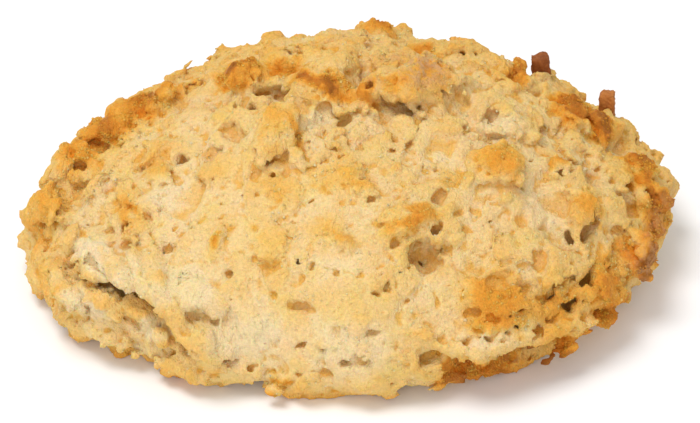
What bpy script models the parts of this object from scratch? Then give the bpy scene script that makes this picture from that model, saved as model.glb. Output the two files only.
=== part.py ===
"""A rock cake: one rough mound of stiff dough, baked on a flat tray.

The dough was heaped with a fork, so it is an oval mound with a pointed left end, a ledge that
spread along the front left, ragged lips that hang over the ledge and over the lower wall, a crest
of browned flaps, and gas holes. It is one solid on a flat base. Lengths below are in millimetres
until a point is placed, and +Y is the far side of the cake.
"""

import math
import random

import bmesh
import bpy
from mathutils import Matrix, Vector, noise

MM = 0.001

# Driving dimensions of the mound, before its crags.
HALF_LENGTH = 43.9
HALF_DEPTH = 32.0
CROWN = 26.6  # height of the top
BELLY = 4.8  # height of the widest level
BELLY_RISE = (3.2, 356.0, 24.0)  # how much higher it is at the right end, at which bearing, half-width
CLOSING = 1.4  # the wall would close this many belly heights below the belly, if not for the tray
OVAL_POWER = 1.9  # 2 is an ellipse, and less gives more pointed ends
WALL_POWER = 0.35  # how far the wall leans in below the belly: 0 is upright
WALL_LEAN = 0.05  # and how much more it leans in for each millimetre that the belly is raised
TURN = math.radians(3.0)  # the long axis against +X
LEFT_DROP = (0.17, 3.0, 38.0)  # share of height lost towards the left end, from where, over what run
RIGHT_DROP = (0.27, 21.0, 20.0)

# Roughness of the dough: (size of a bump, height of a bump).
SWELLS = (11.0, 1.1)
CRAGS = (4.4, 1.9)
CRAG_COUNT = 190
CRAG_RADII = (1.1, 2.3)
CRAG_RISES = (-0.3, 0.97)  # sines of the lowest and highest rise
CRAG_SINK = 0.25  # how deep a crag's middle lies, as a share of its radius
CRAG_BIAS = (0.25, 0.5, 0.3)  # chance of a crag anywhere, and what the right end and the rims add
RIDGE_MIDDLE = 0.4  # of the folded noise that makes crags: above it the skin rises
FINE = (0.4, 0.35)  # size and height of the finest bumps, as shares of the crags'
WOBBLE_PITCH = 1.7  # how many times a lump's outline wavers
SEED = 7

# Sizes of the mesh.
MOUND_SUBDIVISIONS = 6
LUMP_SUBDIVISIONS = 3
FUSING_VOXEL = 0.8
FINAL_VOXEL = 0.62
MOST_TRIANGLES = 12400

# Lumps that stand on the mound. Each is bearing, rise (where on the mound, in degrees),
# half-width along the wall, half-height up the wall, half-thickness, turn in degrees, and how
# far its middle stands out of the mound.
LUMPS = {
    "crest_slab": (86, 71, 12.0, 6.0, 2.6, 0, -0.5),
    "crest_left": (154, 69, 3.9, 2.6, 2.6, 10, 0.5),
    "crest_middle": (140, 84, 4.9, 3.2, 2.6, 20, 0.4),
    "crest_right": (2, 81, 2.9, 5.6, 2.8, 0, 0.7),
    "crest_end": (8, 73, 2.6, 4.2, 2.2, 0, 0.4),
    "back_knob": (74, 50, 4.2, 3.0, 2.0, 0, 0.3),
    "back_shelf": (112, 62, 5.2, 3.0, 1.8, 5, 0.2),
    "back_right_knob": (45, 57, 3.6, 2.8, 1.6, 0, 0.4),
    "right_shoulder": (30, 54, 3.6, 2.6, 1.5, 0, 0.3),
    "leaf_flap": (217, 70, 3.3, 5.0, 1.9, -18, 0.8),
    "left_crag_low": (175, 35, 3.6, 3.2, 2.2, 0, 0.9),
    "left_crag": (167, 42, 3.6, 3.2, 2.4, 0, 1.1),
    "left_crag_high": (163, 49, 2.6, 3.6, 1.7, 30, 0.2),
    "left_rim_upper": (182, 22, 4.6, 4.4, 2.4, 0, -0.4),
    "left_rim_lower": (192, 3, 4.2, 4.2, 2.4, 0, -0.5),
    "ledge_1": (202, 1, 5.0, 4.4, 2.8, 0, -0.4),
    "ledge_2": (212, 0, 5.4, 4.4, 2.4, 0, -0.7),
    "ledge_3": (222, 1, 5.2, 4.0, 1.8, 0, -1.0),
    "ledge_4": (234, -5, 5.0, 3.4, 1.5, 0, -0.8),
    "flake_over_hole": (289, 49, 3.8, 2.0, 1.7, -8, 0.9),
    "right_knob": (331, 56, 3.2, 3.0, 1.5, 0, 0.4),
    "right_knob_low": (342, 45, 2.6, 2.6, 1.4, 0, 0.3),
    "right_brow": (333, 36, 2.8, 2.0, 1.5, 0, 0.5),
    "right_back_crust": (12, 42, 3.6, 3.0, 1.5, 25, -0.6),
    "right_end_high": (357, 27, 2.6, 2.8, 1.6, 0, 0.0),
    "right_end": (354, 17, 3.0, 4.0, 1.5, 0, -0.4),
    "front_right_swell": (308, 20, 8.0, 4.6, 2.4, 8, 0.0),
    "front_right_foot": (313, 2, 7.0, 3.4, 2.2, 0, 0.2),
    "right_foot": (326, 4, 4.6, 3.4, 2.0, 0, 0.2),
}

# A lip is a ragged edge that hangs out over what is below it: (bearing, rise) along it, its
# half-thickness and how far it stands out.
LIPS = {
    "ledge_lip": ([(199, 24), (207, 26), (215, 26), (222, 24), (229, 17), (234, 11)], 2.4, 1.1),
    "second_lip": ([(232, 27), (239, 23), (243, 19)], 1.5, 0.4),
    "wall_lip": ([(294, 9), (301, 8), (308, 6), (317, 7), (325, 12), (332, 14), (338, 16)], 2.1, 0.5),
}

# A crack is a groove below a lip: (bearing, rise) along it, its half-width up the wall and depth.
CRACKS = {
    "ledge_crack": ([(204, 18), (211, 18.5), (218, 20), (223, 17), (229, 10), (232, 6)], 1.5, 2.4),
    "second_crack": ([(233, 21), (238, 18.5)], 1.2, 1.6),
    "front_crack": ([(239, 7), (245, 4), (251, 1)], 0.9, 1.4),
    "wall_recess": ([(297, -6), (302, -7), (307, -7), (312, -6)], 2.6, 2.2),
    "end_recess": ([(326, -7), (333, -6), (340, -6), (347, -6)], 2.2, 1.1),
    "crest_shadow_left": ([(161, 66), (164, 76), (158, 84)], 0.7, 1.3),
    "crest_shadow_right": ([(322, 86), (335, 82), (348, 78), (358, 74)], 0.8, 1.5),
}

# Gas holes and hollows: bearing, rise, half-width along, half-height up, depth, turn in degrees.
HOLES = {
    "great_hole": (288.4, 38.8, 2.1, 2.1, 2.8, 20),
    "hole_beside_it": (281.5, 43, 1.4, 1.2, 1.3, 0),
    "front_hollow": (256, 26, 2.0, 1.4, 1.3, -15),
    "crescent_hole": (302.5, 30.5, 1.4, 1.5, 1.6, 20),
    "square_hole": (310, 21.7, 1.3, 1.3, 1.6, 0),
    "slanted_hole": (317.5, 29, 1.1, 1.4, 1.2, 25),
    "deep_corner": (319, 14, 2.1, 1.7, 2.4, 25),
    "deep_corner_high": (324, 18, 1.5, 1.4, 1.8, 0),
    "crest_cave": (317, 80.5, 1.5, 1.2, 3.0, 30),
    "left_hollow": (194, 20, 1.3, 2.2, 2.0, 0),
    "upper_left_hollow": (197, 68, 2.1, 1.3, 1.5, -25),
    "crest_hollow": (180, 72, 1.5, 1.2, 1.4, 0),
    "low_slot": (285, 8.5, 3.1, 1.0, 2.0, 8),
    "right_end_hollow": (343, 27, 1.3, 1.9, 1.8, 0),
    "round_hole": (345, 40, 1.1, 1.1, 1.8, 0),
    "brow_hollow": (330, 30, 1.5, 1.1, 1.8, 0),
    "far_round_hole": (348.5, 65, 1.0, 1.0, 1.8, 0),
    "ragged_hole": (305, 53, 1.3, 1.0, 1.4, 20),
    "small_round_hole": (296, 39.5, 0.9, 0.9, 1.3, 0),
    "dark_slit": (217.5, 37, 1.3, 0.9, 2.0, 20),
    "small_dark_hole": (196.5, 56.5, 0.9, 1.0, 2.0, 0),
    "ledge_hole": (204, 8, 1.3, 0.9, 1.6, 0),
    "pale_patch": (211, 49, 2.6, 3.4, 1.1, 20),
    "broad_dip": (243.5, 37, 2.6, 1.2, 1.0, 8),
}

# Bits of burnt crust that stand up at the far right: x, y and top, then width, depth, lean in degrees.
BURNT_BITS = {
    "taller_bit": (25.0, 11.6, 24.9, 2.4, 1.7, 6),
    "shorter_bit": (34.2, 9.6, 20.3, 2.0, 1.6, -2),
}
BURNT_BIT_LENGTH = 6.0
CRUMB = (249.5, -19, 1.4, 1.1, 1.3, 0, 0.8)  # a round crumb stuck to the front foot


# The mound -------------------------------------------------------------------------------------


def lost_height(x, share, start, run):
    """The share of its height that the mound loses this far out towards one end."""
    return share * min(max((x - start) / run, 0), 1)


def mound_point(bearing, rise):
    """The point of the smooth mound at a bearing round it and a rise from its belly, in degrees."""
    around = math.radians(bearing)
    lift = math.radians(max(rise, -85.0))
    across = abs(math.cos(around) / HALF_LENGTH) ** OVAL_POWER
    along = abs(math.sin(around) / HALF_DEPTH) ** OVAL_POWER
    reach = (across + along) ** (-1 / OVAL_POWER)
    extra, middle, half_width = BELLY_RISE
    away = (bearing - middle + 180) % 360 - 180
    raised = extra * math.exp(-((away / half_width) ** 2))
    belly = BELLY + raised
    if rise >= 0:
        reach *= math.cos(lift)
    else:
        reach *= math.cos(lift) ** (WALL_POWER + WALL_LEAN * raised)
    x = reach * math.cos(around)
    y = reach * math.sin(around)
    drop = lost_height(-x, *LEFT_DROP) + lost_height(x, *RIGHT_DROP)
    if rise >= 0:
        z = belly + (CROWN - belly) * math.sin(lift) * (1 - drop)
    else:
        z = belly * (1 + CLOSING * math.sin(lift))
    return Matrix.Rotation(TURN, 3, "Z") @ Vector((x, y, z))


def mound_frame(bearing, rise, turn=0.0):
    """Where a piece sits on the mound, as a matrix: x along the wall, y up it, z out of it."""
    step = 0.5
    here = mound_point(bearing, rise)
    along = mound_point(bearing + step, rise) - mound_point(bearing - step, rise)
    up = mound_point(bearing, rise + step) - mound_point(bearing, rise - step)
    out = along.cross(up).normalized()
    along.normalize()
    axes = Matrix((along, out.cross(along), out)).transposed().to_4x4()
    return Matrix.Translation(here) @ axes @ Matrix.Rotation(math.radians(turn), 4, "Z")


def add_object(name, mesh_data, collection):
    """A named object that holds this bmesh, with its millimetres turned into metres."""
    bmesh.ops.scale(mesh_data, vec=(MM, MM, MM), verts=mesh_data.verts)
    mesh = bpy.data.meshes.new(name)
    mesh_data.to_mesh(mesh)
    mesh_data.free()
    made = bpy.data.objects.new(name, mesh)
    collection.objects.link(made)
    return made


def add_mound(collection):
    """The bare mound: a sphere whose points are moved to the same bearing and rise on it."""
    ball = bmesh.new()
    bmesh.ops.create_icosphere(ball, subdivisions=MOUND_SUBDIVISIONS, radius=1)
    for vertex in ball.verts:
        rise = math.degrees(math.asin(max(-1, min(1, vertex.co.z))))
        bearing = math.degrees(math.atan2(vertex.co.y, vertex.co.x))
        vertex.co = mound_point(bearing, rise)
    return add_object("mound", ball, collection)


def add_lump(name, place, half_sizes, collection, unevenness=0.16):
    """An uneven ellipsoid of dough, with these half-sizes, at the place that the matrix gives."""
    ball = bmesh.new()
    bmesh.ops.create_icosphere(ball, subdivisions=LUMP_SUBDIVISIONS, radius=1)
    shift = place.translation
    for vertex in ball.verts:
        wobble = 1 + unevenness * noise.noise(vertex.co * WOBBLE_PITCH + shift)
        local = Vector(a * b * wobble for a, b in zip(vertex.co, half_sizes))
        vertex.co = place @ local
    return add_object(name, ball, collection)


# The pieces of dough on the mound --------------------------------------------------------------


def add_named_lumps(collection):
    for name, (bearing, rise, along, up, thick, turn, proud) in LUMPS.items():
        place = mound_frame(bearing, rise, turn) @ Matrix.Translation((0, 0, proud))
        add_lump(name, place, (along, up, thick), collection)


def stations(route, spacing):
    """Bearings and rises along a route, a roughly even distance apart."""
    for (bearing_a, rise_a), (bearing_b, rise_b) in zip(route, route[1:]):
        reach = (mound_point(bearing_b, rise_b) - mound_point(bearing_a, rise_a)).length
        count = max(1, round(reach / spacing))
        for i in range(count):
            share = i / count
            yield (
                bearing_a + share * (bearing_b - bearing_a),
                rise_a + share * (rise_b - rise_a),
            )
    yield route[-1]


def add_lips(collection):
    """Each lip is a row of overlapping lumps, longer than they are thick, of uneven size."""
    draw = random.Random(SEED)
    for name, (route, thick, proud) in LIPS.items():
        for number, (bearing, rise) in enumerate(stations(route, thick * 1.1)):
            size = thick * draw.uniform(0.8, 1.2)
            place = mound_frame(bearing, rise) @ Matrix.Translation((0, 0, proud))
            half_sizes = (size * 1.25, size * 1.15, size)
            add_lump(f"{name}_{number}", place, half_sizes, collection)


def add_crags(collection):
    """Small crags all over the mound, by a seeded draw that favours its rims and its right side."""
    draw = random.Random(SEED + 1)
    made = 0
    while made < CRAG_COUNT:
        bearing = draw.uniform(0, 360)
        rise = math.degrees(math.asin(draw.uniform(*CRAG_RISES)))
        place = mound_frame(bearing, rise, draw.uniform(0, 180))
        right = (1 + place.translation.x / HALF_LENGTH) / 2
        low = 1 - rise / 90
        anywhere, at_right, at_rims = CRAG_BIAS
        if draw.random() > anywhere + at_right * right + at_rims * low:
            continue
        size = draw.uniform(*CRAG_RADII)
        place = place @ Matrix.Translation((0, 0, -CRAG_SINK * size))
        half_sizes = (size * draw.uniform(0.9, 1.5), size, size * draw.uniform(0.6, 0.9))
        add_lump(f"crag_{made}", place, half_sizes, collection, unevenness=0.3)
        made += 1


# What is cut out of it -------------------------------------------------------------------------


def add_crack_cutters(collection):
    for name, (route, half_width, depth) in CRACKS.items():
        for number, (bearing, rise) in enumerate(stations(route, half_width * 0.9)):
            place = mound_frame(bearing, rise)
            half_sizes = (half_width * 1.3, half_width, depth)
            add_lump(f"{name}_{number}", place, half_sizes, collection, unevenness=0.25)


def add_hole_cutters(collection):
    for name, (bearing, rise, along, up, depth, turn) in HOLES.items():
        place = mound_frame(bearing, rise, turn) @ Matrix.Translation((0, 0, 0.15 * depth))
        half_sizes = (along, up, depth * 1.15)
        add_lump(name, place, half_sizes, collection, unevenness=0.2)


def add_burnt_bits(collection):
    """Two little slabs of burnt crust that stand upright, and a round crumb at the front foot."""
    for name, (x, y, top, width, depth, lean) in BURNT_BITS.items():
        slab = bmesh.new()
        bmesh.ops.create_cube(slab, size=1)
        bmesh.ops.scale(slab, vec=(width, depth, BURNT_BIT_LENGTH), verts=slab.verts)
        corners = slab.verts[:] + slab.edges[:]
        bmesh.ops.bevel(slab, geom=corners, offset=0.3, segments=1, affect="EDGES")
        place = Matrix.Translation((x, y, top - BURNT_BIT_LENGTH / 2))
        place = place @ Matrix.Rotation(math.radians(lean), 4, "Y")
        bmesh.ops.transform(slab, matrix=place, verts=slab.verts)
        add_object(name, slab, collection)
    bearing, rise, along, up, thick, turn, proud = CRUMB
    place = mound_frame(bearing, rise, turn) @ Matrix.Translation((0, 0, proud))
    add_lump("front_crumb", place, (along, up, thick), collection)


# Making one solid ------------------------------------------------------------------------------


def evaluated_copy(piece, name):
    """A new mesh of this object with its modifiers applied."""
    graph = bpy.context.evaluated_depsgraph_get()
    mesh = bpy.data.meshes.new_from_object(piece.evaluated_get(graph))
    mesh.name = name
    return mesh


def apply_modifiers(piece):
    mesh = evaluated_copy(piece, piece.name)
    piece.modifiers.clear()
    old = piece.data
    piece.data = mesh
    bpy.data.meshes.remove(old)


def clear_collection(collection):
    for piece in list(collection.objects):
        bpy.data.objects.remove(piece)
    bpy.data.collections.remove(collection)


def join_all(collection, name):
    """One object that holds every mesh of the collection, still overlapping."""
    whole = bmesh.new()
    for piece in collection.objects:
        whole.from_mesh(piece.data)
    mesh = bpy.data.meshes.new(name)
    whole.to_mesh(mesh)
    whole.free()
    return bpy.data.objects.new(name, mesh)


def fuse(piece, voxel):
    """Overlapping closed meshes become the one skin round them all."""
    remesh = piece.modifiers.new("fuse", "REMESH")
    remesh.mode = "VOXEL"
    remesh.voxel_size = voxel * MM
    apply_modifiers(piece)


def roughen(piece):
    """Moves the skin in and out by broad swells and by sharper crags."""
    mesh = piece.data
    for vertex, normal in zip(mesh.vertices, [n.vector.copy() for n in mesh.vertex_normals]):
        point = vertex.co / MM
        swell = noise.noise(point / SWELLS[0]) * SWELLS[1]
        crag = (RIDGE_MIDDLE - abs(noise.noise(point / CRAGS[0]))) * CRAGS[1]
        fine = noise.noise(point / (CRAGS[0] * FINE[0])) * CRAGS[1] * FINE[1]
        vertex.co += normal * (swell + crag + fine) * MM


def cut(piece, cutters):
    """Takes the cutters out, after fusing them into one closed shape."""
    cutter = join_all(cutters, "all_hollows")
    bpy.context.scene.collection.objects.link(cutter)
    fuse(cutter, FINAL_VOXEL * 0.7)
    hollow = piece.modifiers.new("hollow", "BOOLEAN")
    hollow.operation = "DIFFERENCE"
    hollow.object = cutter
    hollow.solver = "MANIFOLD"
    apply_modifiers(piece)
    bpy.data.objects.remove(cutter)


def largest_shell(piece):
    """Drops any scrap that the cutting left loose."""
    whole = bmesh.new()
    whole.from_mesh(piece.data)
    unseen = set(whole.verts)
    shells = []
    while unseen:
        reached = {unseen.pop()}
        edge_of_search = list(reached)
        while edge_of_search:
            vertex = edge_of_search.pop()
            for edge in vertex.link_edges:
                other = edge.other_vert(vertex)
                if other not in reached:
                    reached.add(other)
                    edge_of_search.append(other)
        unseen -= reached
        shells.append(reached)
    shells.sort(key=len)
    loose = [vertex for shell in shells[:-1] for vertex in shell]
    bmesh.ops.delete(whole, geom=loose, context="VERTS")
    whole.to_mesh(piece.data)
    whole.free()


def simplify(piece, most):
    piece.data.calc_loop_triangles()
    fewer = piece.modifiers.new("fewer", "DECIMATE")
    fewer.ratio = most / len(piece.data.loop_triangles)
    fewer.use_collapse_triangulate = True
    apply_modifiers(piece)


def cut_flat_base(piece):
    """The tray's level: everything below z = 0 goes, and the cut is closed by one flat face."""
    whole = bmesh.new()
    whole.from_mesh(piece.data)
    everything = whole.verts[:] + whole.edges[:] + whole.faces[:]
    made = bmesh.ops.bisect_plane(
        whole, geom=everything, plane_co=(0, 0, 0), plane_no=(0, 0, -1), clear_outer=True
    )
    rim = [item for item in made["geom_cut"] if isinstance(item, bmesh.types.BMEdge)]
    bmesh.ops.holes_fill(whole, edges=rim, sides=0)
    bmesh.ops.recalc_face_normals(whole, faces=whole.faces[:])
    whole.to_mesh(piece.data)
    whole.free()


def join_bits(piece, bits):
    union = piece.modifiers.new("bits", "BOOLEAN")
    union.operation = "UNION"
    union.operand_type = "COLLECTION"
    union.collection = bits
    apply_modifiers(piece)


def stand_in_the_middle(piece):
    """Puts the origin under the middle of the cake's box, on the tray."""
    points = [vertex.co for vertex in piece.data.vertices]
    low = [min(point[i] for point in points) for i in range(3)]
    high = [max(point[i] for point in points) for i in range(3)]
    middle = Vector(((low[0] + high[0]) / 2, (low[1] + high[1]) / 2, low[2]))
    piece.data.transform(Matrix.Translation(-middle))


def baked_dough():
    material = bpy.data.materials.new("baked_dough")
    material.use_nodes = True
    shader = material.node_tree.nodes["Principled BSDF"]
    shader.inputs["Base Color"].default_value = (0.78, 0.52, 0.24, 1)
    shader.inputs["Roughness"].default_value = 0.75
    shader.inputs["Metallic"].default_value = 0.0
    return material


def new_collection(name):
    made = bpy.data.collections.new(name)
    bpy.context.scene.collection.children.link(made)
    return made


def main():
    for leftover in list(bpy.data.objects):
        bpy.data.objects.remove(leftover)

    dough = new_collection("dough")
    add_mound(dough)
    add_named_lumps(dough)
    add_lips(dough)
    add_crags(dough)
    cake = join_all(dough, "rock_cake")
    clear_collection(dough)
    new_collection("rock_cake_parts").objects.link(cake)
    fuse(cake, FUSING_VOXEL)
    roughen(cake)

    hollows = new_collection("hollows")
    add_crack_cutters(hollows)
    add_hole_cutters(hollows)
    cut(cake, hollows)
    clear_collection(hollows)

    fuse(cake, FINAL_VOXEL)
    largest_shell(cake)
    simplify(cake, MOST_TRIANGLES)
    bits = new_collection("bits")
    add_burnt_bits(bits)
    join_bits(cake, bits)
    clear_collection(bits)
    cut_flat_base(cake)
    stand_in_the_middle(cake)
    cake.data.materials.clear()
    cake.data.materials.append(baked_dough())
    cake.data.shade_flat()


main()
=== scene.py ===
# %% [markdown]
# # A rock cake
# A rock cake is a small heap of stiff dough, baked as it falls: no tin, no icing, all crags, tears and
# gas holes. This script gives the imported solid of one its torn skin, pores, crumbs and browning. Lengths
# are in millimetres until they are handed to Blender, which works in metres.

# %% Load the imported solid
import math
import random

import bmesh
import bpy
import numpy as np
from mathutils import Matrix, Vector, noise
from mathutils.bvhtree import BVHTree


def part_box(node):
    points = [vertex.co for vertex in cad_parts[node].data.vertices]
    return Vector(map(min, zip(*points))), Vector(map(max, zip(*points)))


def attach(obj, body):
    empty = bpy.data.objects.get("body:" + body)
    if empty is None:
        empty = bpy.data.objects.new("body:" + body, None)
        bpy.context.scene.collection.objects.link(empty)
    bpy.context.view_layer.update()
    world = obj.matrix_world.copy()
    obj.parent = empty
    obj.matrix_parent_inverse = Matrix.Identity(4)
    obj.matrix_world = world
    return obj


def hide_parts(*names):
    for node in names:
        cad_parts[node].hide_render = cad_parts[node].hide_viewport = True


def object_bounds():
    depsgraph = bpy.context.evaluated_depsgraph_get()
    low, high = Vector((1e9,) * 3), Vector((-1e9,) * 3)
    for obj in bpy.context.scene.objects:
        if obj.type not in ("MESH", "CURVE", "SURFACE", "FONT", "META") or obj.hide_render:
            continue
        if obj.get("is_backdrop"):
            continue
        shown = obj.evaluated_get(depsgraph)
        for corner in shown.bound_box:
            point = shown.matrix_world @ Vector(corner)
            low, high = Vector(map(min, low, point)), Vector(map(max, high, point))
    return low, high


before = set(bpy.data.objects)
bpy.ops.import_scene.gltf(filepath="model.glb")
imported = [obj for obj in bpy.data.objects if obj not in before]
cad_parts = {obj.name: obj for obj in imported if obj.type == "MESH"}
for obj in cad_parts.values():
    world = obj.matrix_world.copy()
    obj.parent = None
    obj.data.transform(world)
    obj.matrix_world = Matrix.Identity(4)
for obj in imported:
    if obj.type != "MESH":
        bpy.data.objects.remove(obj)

MM = 0.001
NODE = "rock_cake"
NOISE_SEED = 7
noise.seed_set(NOISE_SEED)  # without a seed, noise_vector gives something else each run


def add_object(name, data):
    """A new object of this data, in the scene."""
    made = bpy.data.objects.new(name, data)
    bpy.context.scene.collection.objects.link(made)
    return made


solid_box = [list(corner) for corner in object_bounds()]
low, high = (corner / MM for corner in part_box(NODE))
length, depth, height = high - low
print(f"the cake is {length:.1f} x {depth:.1f} x {height:.1f} mm")

# %% [markdown]
# ## The camera, the floor and the light
# The cake is seen from the front and from well above, through a long lens. The floor is a plain pale
# sheet. One broad lamp hangs overhead and to the left, so that each hole is dark under its left lip and
# each crag has a lit top. A weaker one in front and the pale world fill the shadows.

# %% Camera
VIEW_HEIGHT_ANGLE = 38.0  # degrees above the floor
VIEW_DISTANCE = 450.0
SENSOR_WIDTH = 36.0
FRAME_WIDTH = 95.16  # how much fits across the frame, at the cake
AIM = Vector((0, 0, 7.3))

angle = math.radians(VIEW_HEIGHT_ANGLE)
back = Vector((0, -math.cos(angle), math.sin(angle)))
camera = add_object("catalogue_camera", bpy.data.cameras.new("catalogue_camera"))
camera.data.sensor_width = SENSOR_WIDTH
camera.data.lens = SENSOR_WIDTH * VIEW_DISTANCE / FRAME_WIDTH
camera.location = (AIM + back * VIEW_DISTANCE) * MM
camera.rotation_euler = back.to_track_quat("Z", "Y").to_euler()
bpy.context.scene.camera = camera
print(f"lens {camera.data.lens:.0f} mm")

# %% Floor
FLOOR_SIZE = 3.0  # metres
PAPER_WHITE = (0.93, 0.93, 0.93, 1)
PAPER_ROUGHNESS = 0.9

grid = bmesh.new()
bmesh.ops.create_grid(grid, x_segments=1, y_segments=1, size=FLOOR_SIZE / 2)
floor = add_object("floor", bpy.data.meshes.new("floor"))
grid.to_mesh(floor.data)
grid.free()
paper = bpy.data.materials.new("white_paper")
paper.use_nodes = True
shader = paper.node_tree.nodes["Principled BSDF"]
shader.inputs["Base Color"].default_value = PAPER_WHITE
shader.inputs["Roughness"].default_value = PAPER_ROUGHNESS
floor.data.materials.append(paper)
floor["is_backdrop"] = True

# %% Lamps
LAMPS = dict(  # place and size in metres, and power: both point at the cake
    overhead=((-0.22, -0.06, 0.78), 0.4, 3.6),
    front_fill=((-0.14, -0.9, 0.42), 0.9, 2.35),
)
WORLD_LIGHT = 0.65

for name, (place, size, power) in LAMPS.items():
    lamp = add_object(name, bpy.data.lights.new(name, "AREA"))
    lamp.data.shape = "DISK"
    lamp.data.size = size
    lamp.data.energy = power
    lamp.location = place
    lamp.rotation_euler = Vector(place).to_track_quat("Z", "Y").to_euler()
world = bpy.data.worlds.new("pale_room")
world.use_nodes = True
background = world.node_tree.nodes["Background"]
background.inputs["Color"].default_value = (1, 1, 1, 1)
background.inputs["Strength"].default_value = WORLD_LIGHT
bpy.context.scene.world = world
bpy.context.scene.view_settings.view_transform = "Standard"
print(f"{len(LAMPS)} lamps")

# %% [markdown]
# ## Places on the crust
# Every hole, flap and browned spot has a place, given as two angles seen from the heart of the cake: a
# bearing round it, where 0 is the right end and 270 the front, and a height above the level of the heart.
# A ray in that direction finds the crust, however rough the solid is there.

# %% The core, and places on it
HEART = Vector((0, 0, 4.0))
MERGE_DISTANCE = 0.00001  # metres; the frame holds the solid as loose triangles
CALM_MIDDLE = (-2.0, -20.0, 15.0)
CALM_REACH = (21.0, 16.0, 15.0)
CALMING_ROUNDS = 14
WIDEST_CALM = 1.25  # the first round's reach, as a share of CALM_REACH
CALM_TAPER = 0.5  # how much of that share is lost by the last round
SMOOTHING = 0.6


def calm(shape):
    """Smooths the lumps out of the front, in rounds that reach less far each time."""
    axes = dict.fromkeys(("use_axis_x", "use_axis_y", "use_axis_z"), True)
    for turn in range(CALMING_ROUNDS):
        reach = WIDEST_CALM - CALM_TAPER * turn / CALMING_ROUNDS
        near = []
        for vertex in shape.verts:
            away = [(p - m) / r for p, m, r in zip(vertex.co / MM, CALM_MIDDLE, CALM_REACH)]
            if Vector(away).length < reach and vertex.co.z > MM:
                near.append(vertex)
        bmesh.ops.smooth_vert(shape, verts=near, factor=SMOOTHING, **axes)


SWELLS = dict(
    # middle, reach and how far the crust moves out there; in where it is negative
    left_end=((-44, -6, 9), 5, -1.4),
    left_foot=((-34, -22, 3), 4, -0.9),
    left_foot_far=((-40, -14, 4), 4, -0.7),
    left_foot_front=((-25, -26.5, 2.5), 5, -0.7),
    left_back=((-27, 9, 20), 5, 0.7),
    right_back=((39, 5, 15), 5, -2.1),
    right_back_high=((37.5, 6.5, 17), 3, -1.1),
    left_top=((-29, 6, 19), 5, -0.9),
    front_foot=((-16, -29, 0.5), 6, 0.9),
    wall_foot=((17, -27.5, 0.5), 5, 1.5),
    corner_foot=((26, -23, 0.5), 4, -0.5),
    corner_wall=((31, -23.5, 5.5), 4.5, -0.7),
    middle_foot=((9, -30, 0.5), 4, 0.8),
    crumb_foot=((-10.5, -31.5, 1), 2.5, -0.8),
    cavity_left=((-34, -19.5, 8.8), 3.6, 0.9),
    before_taller=((26, 11, 21.5), 3, 1.6),
    before_shorter=((35.4, 8.2, 17.2), 2.6, 1.1),
    behind_bits=((28, 13, 19), 4, 0.9),
    top=((4, 18, 26), 4, 0.5),
    under_crest=((4, -1.6, 27), 2.4, 0.9),
    right_cavity=((31, -21, 9), 2.8, 1.3),
    right_cavity_top=((29.5, -20, 12.5), 2.2, 0.9),
)


def swell(shape):
    """Moves the crust out or in round each of those places."""
    shape.normal_update()
    for vertex in shape.verts:
        out = 0.0
        for middle, reach, amount in SWELLS.values():
            out += amount * math.exp(-((vertex.co / MM - Vector(middle)).length / reach) ** 2)
        move = vertex.normal * out * MM
        if vertex.co.z < MM:
            move.z = 0
        vertex.co += move


BIT_PLACES = ((25.5, 12.1), (34.4, 10.1))
BIT_REACH = 1.9
RING_WIDTH = 1.5
LOWEST_BACK = 10  # the ring leaves out what is lower than this, such as the underside


def take_bits_off(shape):
    """Lowers the two burnt bits, which are pieces of their own here, to the crust round them."""
    for x, y in BIT_PLACES:
        away = {v: math.hypot(v.co.x / MM - x, v.co.y / MM - y) for v in shape.verts}
        ring = [
            vertex.co.z for vertex, far in away.items()
            if BIT_REACH < far < BIT_REACH + RING_WIDTH and vertex.co.z > LOWEST_BACK * MM
        ]
        level = sum(ring) / len(ring)
        for vertex, far in away.items():
            if far <= BIT_REACH:
                vertex.co.z = min(vertex.co.z, level)


core = bmesh.new()
core.from_mesh(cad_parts[NODE].data)
bmesh.ops.remove_doubles(core, verts=core.verts, dist=MERGE_DISTANCE)
take_bits_off(core)
calm(core)
swell(core)
crust_tree = BVHTree.FromBMesh(core)

RAY_START = 0.2  # metres from the heart, well outside the cake
FRAME_STEP = 5  # degrees either way, over which the lie of the crust is measured
FLAT_TOP = 0.05  # below this, a place is so level that no way along it is sideways


def crust_place(bearing, height_angle):
    """The point of the crust in this direction from the heart, in millimetres."""
    around, up = math.radians(bearing), math.radians(height_angle)
    flat = math.cos(up)
    ray = Vector((flat * math.cos(around), flat * math.sin(around), math.sin(up)))
    hit = crust_tree.ray_cast(HEART * MM + ray * RAY_START, -ray)
    return hit[0] / MM, ray


def crust_frame(bearing, height_angle, turn=0.0):
    """A matrix at that place: x along the crust, y up it, z out of it."""
    here, ray = crust_place(bearing, height_angle)
    steps = (-FRAME_STEP, FRAME_STEP)
    left, right = (crust_place(bearing + step, height_angle)[0] for step in steps)
    below, above = (crust_place(bearing, height_angle + step)[0] for step in steps)
    out = (right - left).cross(above - below).normalized()
    if out.dot(ray) < 0:
        out = ray
    along = Vector((0, 0, 1)).cross(out)
    if along.length < FLAT_TOP:
        along = Vector((1, 0, 0)) - out * out.x
    along.normalize()
    axes = Matrix((along, out.cross(along), out)).transposed().to_4x4()
    return Matrix.Translation(here) @ axes @ Matrix.Rotation(math.radians(turn), 4, "Z")


print(f"core of {len(core.faces)} triangles")

# %% [markdown]
# ## Gas holes and torn hollows
# Stiff dough traps gas, and where it is torn the gas holes lie open. The clear ones are set one by one,
# each an uneven ellipsoid sunk in the crust, and all of them are later taken out of the dough together.
# The many small pores come from a texture instead.

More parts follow.
